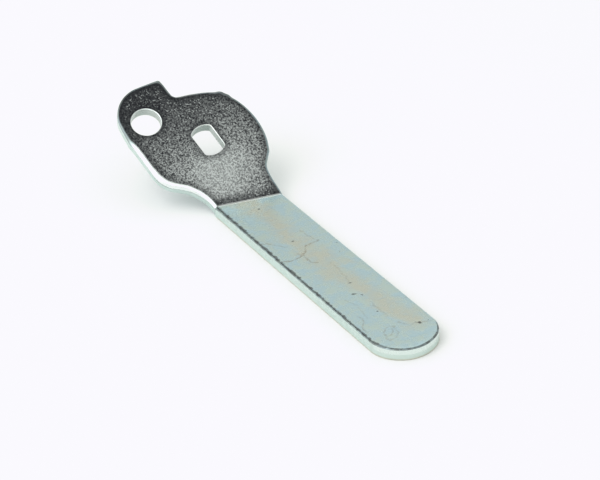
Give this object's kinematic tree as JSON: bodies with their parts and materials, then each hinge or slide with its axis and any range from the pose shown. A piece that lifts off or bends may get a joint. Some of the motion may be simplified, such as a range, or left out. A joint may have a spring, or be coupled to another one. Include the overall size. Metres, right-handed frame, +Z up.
{
  "type": "plate lever handle",
  "caption": "Flat stamped sheet-metal lever with a straight round-ended handle and a tilted disc head with a double-D slot, an eared round hole and a stop notch.",
  "frame": {"origin": "on the underside of the straight handle, on its centreline, at the centre of the handle's end radius", "axes": "+X along the handle away from the head, +Y to the side of the head's small nub, +Z up from the surface the handle lies on"},
  "size_m": [0.1192, 0.0331, 0.0246],
  "materials": {
    "zinc_plate": "bright zinc plating, satin, fine-grained"
  },
  "bodies": {
    "root": {"lever_plate": "zinc_plate"}
  },
  "joints": []
}
